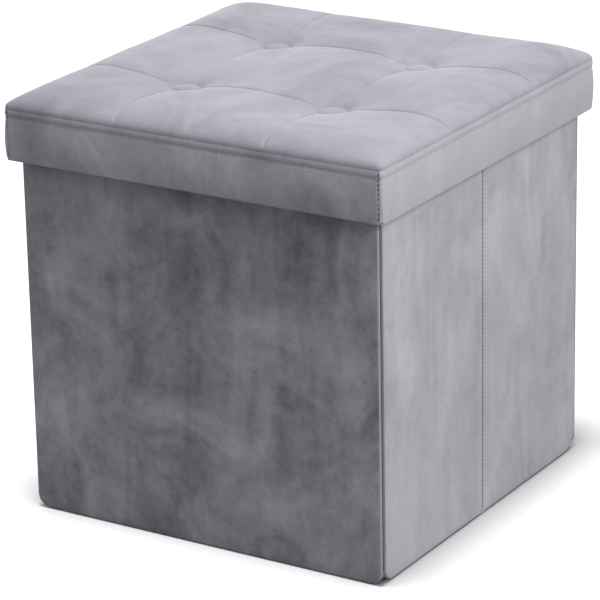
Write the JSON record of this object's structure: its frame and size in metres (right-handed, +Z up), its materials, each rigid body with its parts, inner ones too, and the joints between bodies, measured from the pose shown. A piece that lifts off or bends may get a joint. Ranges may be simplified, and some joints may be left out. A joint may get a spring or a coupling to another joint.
{
  "type": "storage ottoman",
  "caption": "Square folding storage ottoman: velvet-covered board walls that fold at sewn seams, a base board tied to the back wall by a strip of cloth, and a lift-off lid with a tufted cushion.",
  "frame": {"origin": "centre of the square footprint on the floor", "axes": "+X to the right of the front wall, +Y towards the back wall, +Z up"},
  "size_m": [0.38, 0.38, 0.396],
  "materials": {
    "velvet": "grey velvet with a brushed pile",
    "lining": "black non-woven cloth",
    "fibreboard": "raw fibreboard",
    "foam": "open-cell foam",
    "twine": "waxed twine",
    "washer": "moulded",
    "ribbon": "woven tape"
  },
  "bodies": {
    "base": {"base_board": "fibreboard", "base_wrap": "lining", "base_lining": "lining", "pull_tab": "ribbon", "base_hinge_cloth": "lining"},
    "back_wall": {"back_board": "fibreboard", "back_cover": "velvet", "back_lining": "lining", "corner_strip_back_right": "velvet", "corner_strip_back_left": "velvet"},
    "right_rear": {"right_rear_board": "fibreboard", "right_rear_cover": "velvet", "right_rear_lining": "lining", "fold_strip_right": "velvet"},
    "right_front": {"right_front_board": "fibreboard", "right_front_cover": "velvet", "right_front_lining": "lining"},
    "front_wall": {"front_board": "fibreboard", "front_cover": "velvet", "front_lining": "lining", "corner_strip_front_right": "velvet", "corner_strip_front_left": "velvet"},
    "left_rear": {"left_rear_board": "fibreboard", "left_rear_cover": "velvet", "left_rear_lining": "lining", "fold_strip_left": "velvet"},
    "left_front": {"left_front_board": "fibreboard", "left_front_cover": "velvet", "left_front_lining": "lining"},
    "lid": {"lid_board": "fibreboard", "lid_lining": "lining", "rail_front": "fibreboard", "rail_back": "fibreboard", "rail_right": "fibreboard", "rail_left": "fibreboard", "skirt_front": "velvet", "skirt_back": "velvet", "skirt_right": "velvet", "skirt_left": "velvet", "skirt_lining": "lining", "cushion_foam": "foam", "cushion_cover": "velvet", "button_front_left": "velvet", "button_front_right": "velvet", "button_back_left": "velvet", "button_back_right": "velvet", "twine_front_left": "twine", "twine_front_right": "twine", "twine_back_left": "twine", "twine_back_right": "twine", "washer_front_left": "washer", "washer_front_right": "washer", "washer_back_left": "washer", "washer_back_right": "washer"}
  },
  "joints": [
    {"name": "lay_back", "type": "hinge", "parent": "base", "child": "back_wall", "pos_m": [0, 0.18, 0], "axis": [-1, 0, 0], "range_deg": [0, 88]},
    {"name": "right_rear_fold", "type": "hinge", "parent": "back_wall", "child": "right_rear", "pos_m": [0.1724, 0.1724, 0], "axis": [0, 0, -1], "range_deg": [0, 88]},
    {"name": "right_middle_fold", "type": "hinge", "parent": "right_rear", "child": "right_front", "pos_m": [0.1804, 0, 0], "axis": [0, 0, 1], "range_deg": [0, 176]},
    {"name": "front_corner_fold", "type": "hinge", "parent": "right_front", "child": "front_wall", "pos_m": [0.1724, -0.1724, 0], "axis": [0, 0, -1], "range_deg": [0, 88]},
    {"name": "left_rear_fold", "type": "hinge", "parent": "back_wall", "child": "left_rear", "pos_m": [-0.1724, 0.1724, 0], "axis": [0, 0, 1], "range_deg": [0, 88]},
    {"name": "left_middle_fold", "type": "hinge", "parent": "left_rear", "child": "left_front", "pos_m": [-0.1804, 0, 0], "axis": [0, 0, -1], "range_deg": [0, 176]},
    {"name": "lid_lift", "type": "slide", "parent": "back_wall", "child": "lid", "axis": [0, 0, 1], "range_m": [0, 0.3]}
  ],
  "couplings": [
    {"joint": "right_rear_fold", "follows": "lay_back", "ratio": 1},
    {"joint": "right_middle_fold", "follows": "lay_back", "ratio": 2},
    {"joint": "front_corner_fold", "follows": "lay_back", "ratio": 1},
    {"joint": "left_rear_fold", "follows": "lay_back", "ratio": 1},
    {"joint": "left_middle_fold", "follows": "lay_back", "ratio": 2}
  ]
}
